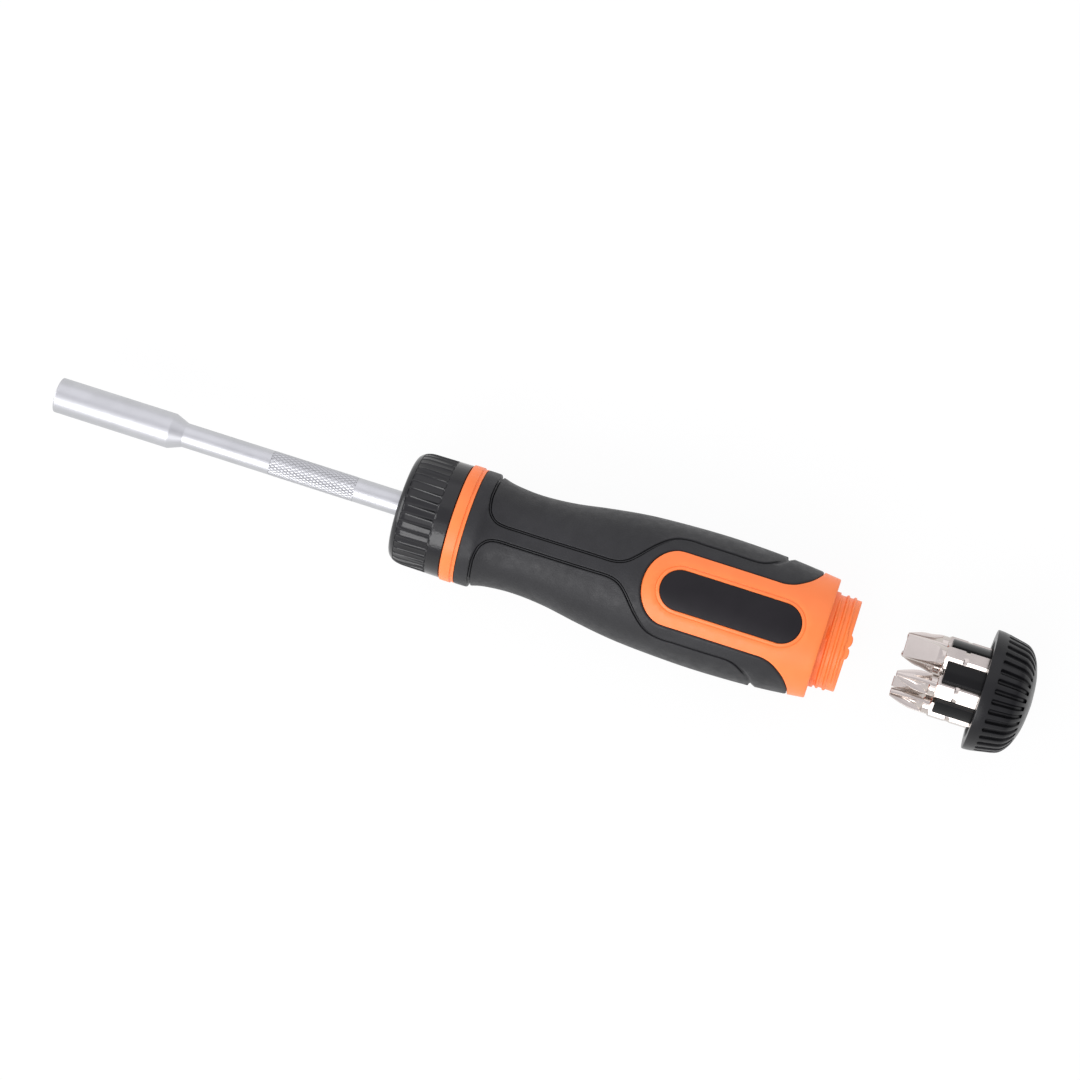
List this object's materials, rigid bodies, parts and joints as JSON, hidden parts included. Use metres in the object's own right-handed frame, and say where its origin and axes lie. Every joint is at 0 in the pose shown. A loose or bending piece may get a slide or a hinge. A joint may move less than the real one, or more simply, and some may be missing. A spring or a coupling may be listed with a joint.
{
  "type": "ratcheting screwdriver",
  "caption": "Ratcheting screwdriver: hexagonal bit socket on a steel shaft, reversing collar, two-part moulded grip and a screw cap with a rack of spare bits.",
  "frame": {"origin": "centre of the bit socket's mouth, on the tool's axis", "axes": "+X along the tool from the bit socket to the cap, +Z out of the badge, which faces up as the tool lies"},
  "size_m": [0.2857, 0.0382, 0.038],
  "materials": {
    "bright_plastic": "bright orange moulded plastic, satin gloss",
    "soft_grip": "black soft-touch elastomer, matte",
    "badge_plastic": "black plate, bare",
    "collar_plastic": "black moulded plastic, satin",
    "cap_plastic": "black moulded plastic, satin",
    "rack_plastic": "black moulded plastic, satin",
    "satin_chrome": "satin chrome plated steel with a knurled band",
    "bit_steel": "bright nickel finish on hardened steel",
    "machined_steel": "machined steel",
    "spring_steel": "dark spring steel",
    "bearing_bronze": "sintered bronze",
    "magnet": "nickel-plated magnet"
  },
  "bodies": {
    "handle": {"handle_core": "bright_plastic", "grip_overmould": "soft_grip", "badge_plate_top": "badge_plastic", "badge_plate_bottom": "badge_plastic", "ratchet_housing": "machined_steel", "front_bearing_plate": "machined_steel", "housing_snap_ring": "spring_steel", "rear_bush": "bearing_bronze", "thrust_washer": "machined_steel", "pawl_pins": "machined_steel", "pawl_spring_left": "spring_steel", "pawl_spring_right": "spring_steel", "detent_spring": "spring_steel", "selector_snap_ring": "spring_steel"},
    "spindle": {"shaft": "satin_chrome", "ratchet_gear": "machined_steel", "shaft_circlip": "spring_steel", "bit_magnet": "magnet"},
    "selector": {"selector_collar": "collar_plastic"},
    "pawl_left": {"pawl_left": "machined_steel"},
    "pawl_right": {"pawl_right": "machined_steel"},
    "rack": {"bit_rack": "rack_plastic"},
    "cap": {"cap": "cap_plastic", "rack_screw": "machined_steel"},
    "bit_slotted_wide": {"bit_slotted_wide": "bit_steel"},
    "bit_cross_large": {"bit_cross_large": "bit_steel"},
    "bit_ribbed_cross_large": {"bit_ribbed_cross_large": "bit_steel"},
    "bit_slotted_narrow": {"bit_slotted_narrow": "bit_steel"},
    "bit_cross_small": {"bit_cross_small": "bit_steel"},
    "bit_ribbed_cross_small": {"bit_ribbed_cross_small": "bit_steel"}
  },
  "joints": [
    {"name": "spindle_turn", "type": "hinge", "parent": "handle", "child": "spindle", "pos_m": [0.06, 0, 0], "axis": [1, 0, 0], "continuous": true},
    {"name": "selector_turn", "type": "hinge", "parent": "handle", "child": "selector", "pos_m": [0.111, 0, 0], "axis": [1, 0, 0], "range_deg": [-20, 20], "deforming": ["detent_spring", "pawl_spring_left", "pawl_spring_right"]},
    {"name": "pawl_left_rock", "type": "hinge", "parent": "handle", "child": "pawl_left", "pos_m": [0.111, -0.00698, 0.00501], "axis": [1, 0, 0], "range_deg": [-5.1, 5.1]},
    {"name": "pawl_right_rock", "type": "hinge", "parent": "handle", "child": "pawl_right", "pos_m": [0.111, 0.00698, 0.00501], "axis": [1, 0, 0], "range_deg": [-5.1, 5.1]},
    {"name": "cap_slide", "type": "slide", "parent": "handle", "child": "rack", "axis": [-1, 0, 0], "range_m": [0, 0.0451]},
    {"name": "cap_screw", "type": "hinge", "parent": "rack", "child": "cap", "pos_m": [0.271, 0, 0], "axis": [-1, 0, 0], "range_deg": [0, 8130]},
    {"name": "bit_slotted_wide_pull", "type": "slide", "parent": "rack", "child": "bit_slotted_wide", "axis": [1, 0, 0], "range_m": [-0.0128, 0]},
    {"name": "bit_cross_large_pull", "type": "slide", "parent": "rack", "child": "bit_cross_large", "axis": [1, 0, 0], "range_m": [-0.0128, 0]},
    {"name": "bit_ribbed_cross_large_pull", "type": "slide", "parent": "rack", "child": "bit_ribbed_cross_large", "axis": [1, 0, 0], "range_m": [-0.0128, 0]},
    {"name": "bit_slotted_narrow_pull", "type": "slide", "parent": "rack", "child": "bit_slotted_narrow", "axis": [1, 0, 0], "range_m": [-0.0128, 0]},
    {"name": "bit_cross_small_pull", "type": "slide", "parent": "rack", "child": "bit_cross_small", "axis": [1, 0, 0], "range_m": [-0.0128, 0]},
    {"name": "bit_ribbed_cross_small_pull", "type": "slide", "parent": "rack", "child": "bit_ribbed_cross_small", "axis": [1, 0, 0], "range_m": [-0.0128, 0]}
  ],
  "couplings": [
    {"joint": "pawl_left_rock", "follows": "selector_turn", "ratio": 0.25243},
    {"joint": "pawl_right_rock", "follows": "selector_turn", "ratio": 0.25243},
    {"joint": "cap_screw", "follows": "cap_slide", "rad_per_m": 3141.6}
  ]
}
